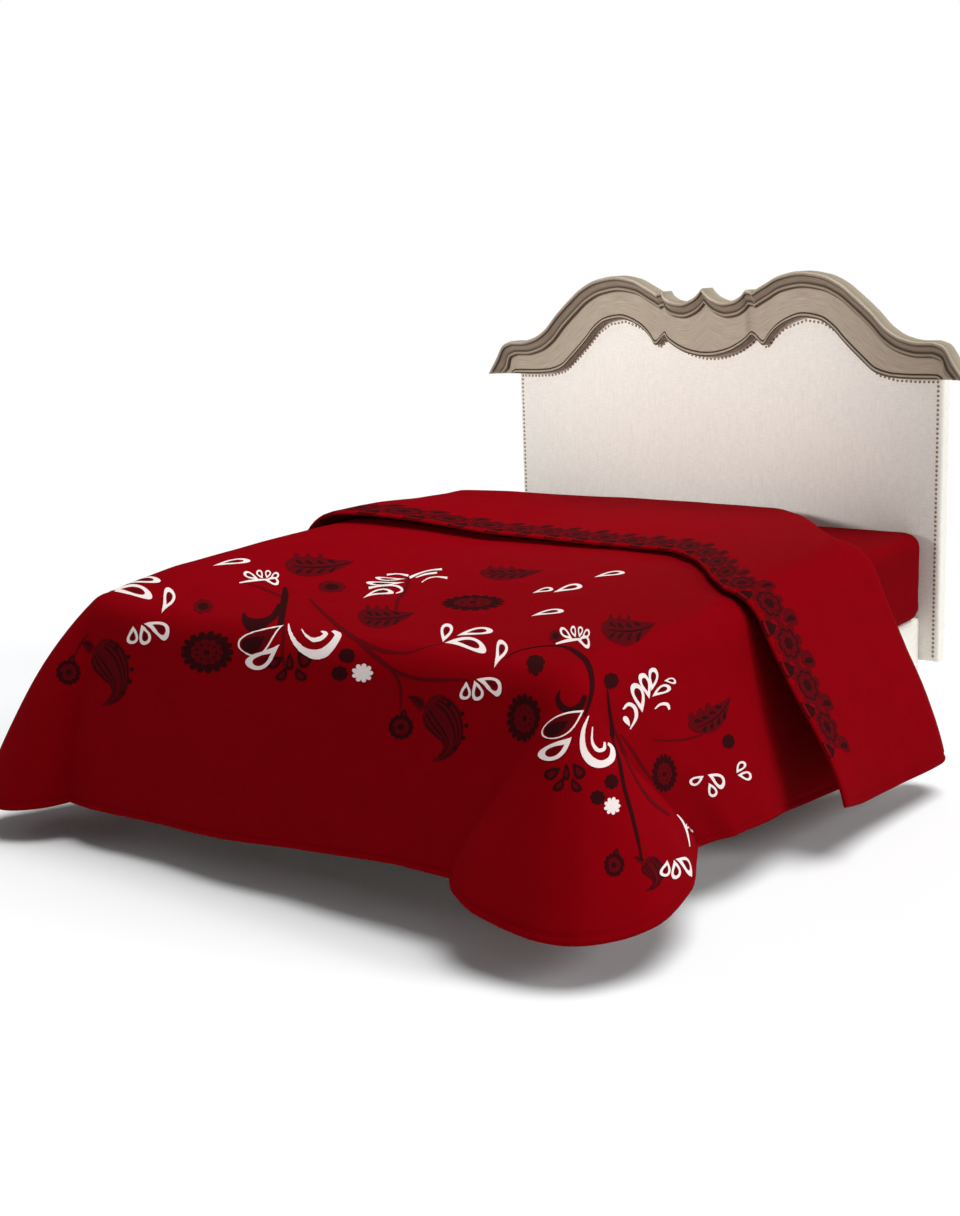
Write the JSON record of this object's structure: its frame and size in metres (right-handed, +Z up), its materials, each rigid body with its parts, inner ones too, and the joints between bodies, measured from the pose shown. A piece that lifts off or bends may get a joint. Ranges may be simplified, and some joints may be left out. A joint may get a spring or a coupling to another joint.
{
  "type": "quilt on a bed",
  "caption": "Printed quilt draped over a bed with its head end folded back, with the mattress, base, legs and arched headboard under and behind it.",
  "frame": {"origin": "on the floor, in the middle of the foot of the bed's centre leg", "axes": "+X across the bed to the right as seen from its foot, +Y along the bed toward its head, +Z up"},
  "size_m": [2.198, 2.4011, 1.437],
  "materials": {
    "quilt_cotton": "soft brushed red cotton, printed in white and charcoal",
    "sheet_cotton": "smooth red cotton sheet",
    "ivory_linen": "plain woven ivory linen",
    "driftwood": "grey-beige driftwood with dark glaze in its grooves",
    "dark_wood": "satin dark stained wood"
  },
  "bodies": {
    "root": {"quilt": "quilt_cotton", "mattress": "sheet_cotton", "base": "ivory_linen", "headboard_panel": "ivory_linen", "rail_left": "driftwood", "rail_right": "driftwood", "rail_block": "driftwood", "stile_left": "driftwood", "stile_right": "driftwood", "leg_centre": "dark_wood", "leg_foot_left": "dark_wood", "leg_foot_right": "dark_wood", "leg_head_left": "dark_wood", "leg_head_right": "dark_wood"}
  },
  "joints": []
}
